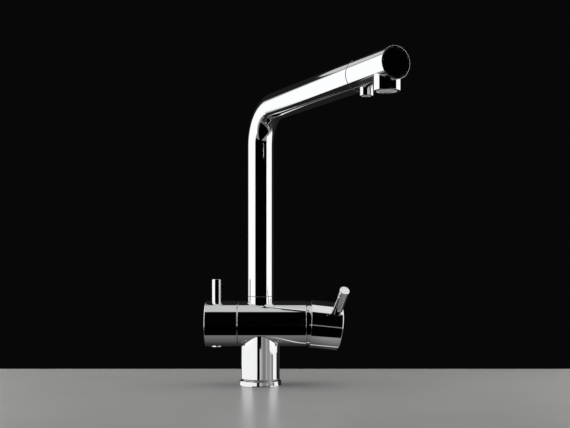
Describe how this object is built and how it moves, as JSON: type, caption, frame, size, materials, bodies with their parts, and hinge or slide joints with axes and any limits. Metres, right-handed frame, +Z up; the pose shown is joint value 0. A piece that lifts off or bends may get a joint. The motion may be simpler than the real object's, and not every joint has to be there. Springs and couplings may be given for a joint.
{
  "type": "three way filtered water tap",
  "caption": "Deck mounted kitchen tap with a swivelling spout, a mixer lever for hot and cold, and a separate knob and outlet for filtered water.",
  "frame": {"origin": "on the deck, at the centre of the base ring's underside, on the axis of the column", "axes": "+Z up along the column, +X along the body towards the mixer cap, -Y towards the user"},
  "size_m": [0.1896, 0.2707, 0.3579],
  "materials": {
    "chrome": "mirror polished chrome plate on brass",
    "brass": "machined",
    "steel": "machined stainless steel",
    "rubber": "matt black seal",
    "plastic": "satin moulded",
    "ceramic": "ground ceramic"
  },
  "bodies": {
    "body": {"base_ring": "chrome", "base_gasket": "rubber", "mixer_body": "chrome", "threaded_shank": "brass", "deck_washer_rubber": "rubber", "deck_washer_steel": "steel", "fixing_nut": "brass", "inlet_hot": "brass", "inlet_cold": "brass", "inlet_filtered": "brass", "spout_collar": "chrome", "swivel_bush": "plastic", "spout_retaining_screw": "steel", "cartridge_seal": "rubber", "cartridge_base": "plastic", "ceramic_disc_fixed": "ceramic", "cartridge_housing": "plastic", "cartridge_nut": "brass", "handle_dome": "chrome", "filter_valve_body": "brass", "filter_valve_o_ring": "rubber", "filter_disc_fixed": "ceramic"},
    "spout": {"spout_tube": "chrome", "spout_spigot": "brass", "spout_o_ring_lower": "rubber", "spout_o_ring_upper": "rubber", "filtered_water_tube": "plastic", "spout_head": "chrome", "spout_end_cap": "chrome", "aerator_housing": "chrome", "aerator": "plastic", "aerator_seal": "rubber", "filtered_nozzle": "chrome", "filtered_insert": "plastic"},
    "cartridge_turn": {"cartridge_rotor": "plastic", "stem_pivot_pin": "steel"},
    "mixer_cap": {"mixer_stem": "brass", "mixer_handle": "chrome", "mixer_lever": "chrome", "handle_grub_screw": "steel"},
    "disc_slide": {"ceramic_disc_moving": "ceramic"},
    "filter_control": {"filter_knob": "chrome", "filter_lever": "chrome", "filter_spindle": "brass", "filter_disc_turning": "ceramic", "knob_grub_screw": "steel"}
  },
  "joints": [
    {"name": "spout_swivel", "type": "hinge", "parent": "body", "child": "spout", "pos_m": [0, 0, 0.0953], "axis": [0, 0, 1], "range_deg": [-116.7, 63.3]},
    {"name": "temperature_turn", "type": "hinge", "parent": "body", "child": "cartridge_turn", "pos_m": [0.052, 0, 0.0663], "axis": [1, 0, 0], "range_deg": [-105, 3]},
    {"name": "flow_tilt", "type": "hinge", "parent": "cartridge_turn", "child": "mixer_cap", "pos_m": [0.052, 0, 0.0663], "axis": [0, 0.6293, 0.7771], "range_deg": [-9.9, 1.5]},
    {"name": "disc_travel", "type": "slide", "parent": "cartridge_turn", "child": "disc_slide", "axis": [0, -0.7771, 0.6293], "range_m": [-0.0035, 0.0006]},
    {"name": "filter_turn", "type": "hinge", "parent": "body", "child": "filter_control", "pos_m": [-0.0366, 0, 0.0663], "axis": [1, 0, 0], "range_deg": [0, 90]}
  ],
  "couplings": [
    {"joint": "disc_travel", "follows": "flow_tilt", "m_per_rad": 0.0196}
  ]
}
